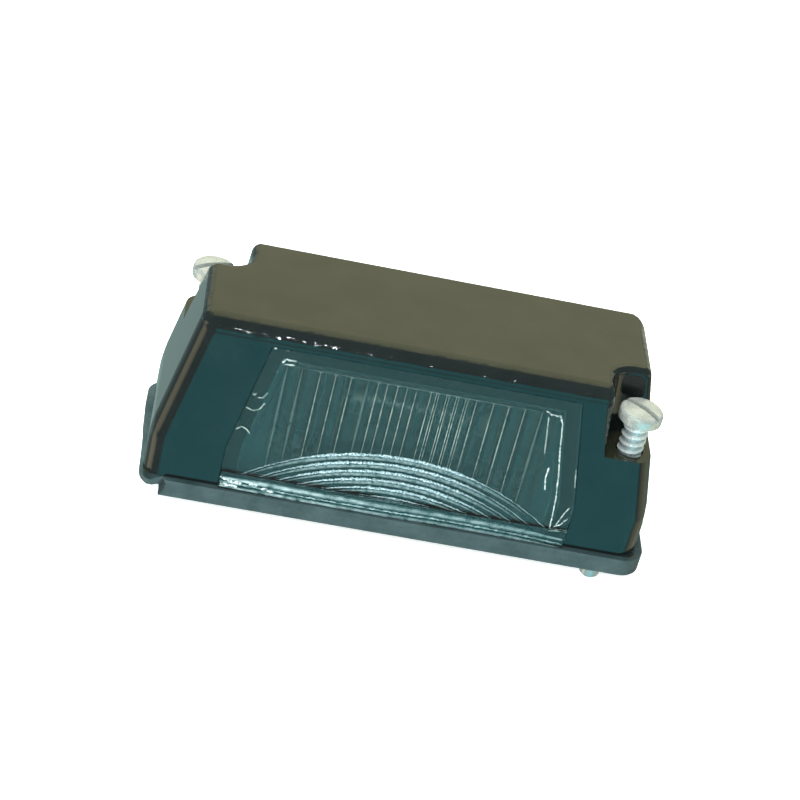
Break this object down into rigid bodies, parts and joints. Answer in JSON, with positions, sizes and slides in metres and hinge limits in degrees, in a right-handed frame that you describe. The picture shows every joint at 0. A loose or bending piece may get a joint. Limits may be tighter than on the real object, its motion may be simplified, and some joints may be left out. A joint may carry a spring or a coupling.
{
  "type": "number plate lamp",
  "caption": "Number plate lamp: black moulded hood with flared ends and corner notches, ribbed clear front lens, rubber gasket and long slotted screws.",
  "frame": {"origin": "midpoint of the two fixing screws, on the underside of the gasket", "axes": "+X along the lamp, -Y the side the light leaves by, +Z away from the panel"},
  "size_m": [0.11, 0.0364, 0.0493],
  "materials": {
    "hood": "glossy black moulding",
    "lens": "clear moulded plastic with a faint green tint",
    "seal": "soft black",
    "base_plate": "matt black moulding",
    "gasket": "dull grey-black",
    "reflector": "dull rolled sheet",
    "rivet": "plated",
    "contact": "rolled spring strip",
    "terminal": "rolled strip",
    "bulb_glass": "clear blown glass",
    "bulb_cap": "plated",
    "filament": "drawn wire",
    "screw": "bright plated"
  },
  "bodies": {
    "root": {"hood": "hood", "lens": "lens", "lens_seal": "seal", "base_plate": "base_plate", "base_gasket": "gasket", "reflector": "reflector", "reflector_rivet_left": "rivet", "reflector_rivet_right": "rivet", "contact_left": "contact", "contact_right": "contact", "contact_rivet_left": "rivet", "contact_rivet_right": "rivet", "terminal_left": "terminal", "terminal_right": "terminal", "bulb_glass": "bulb_glass", "bulb_cap_left": "bulb_cap", "bulb_cap_right": "bulb_cap", "bulb_filament": "filament", "fixing_screw_front": "screw", "fixing_screw_rear": "screw"}
  },
  "joints": []
}
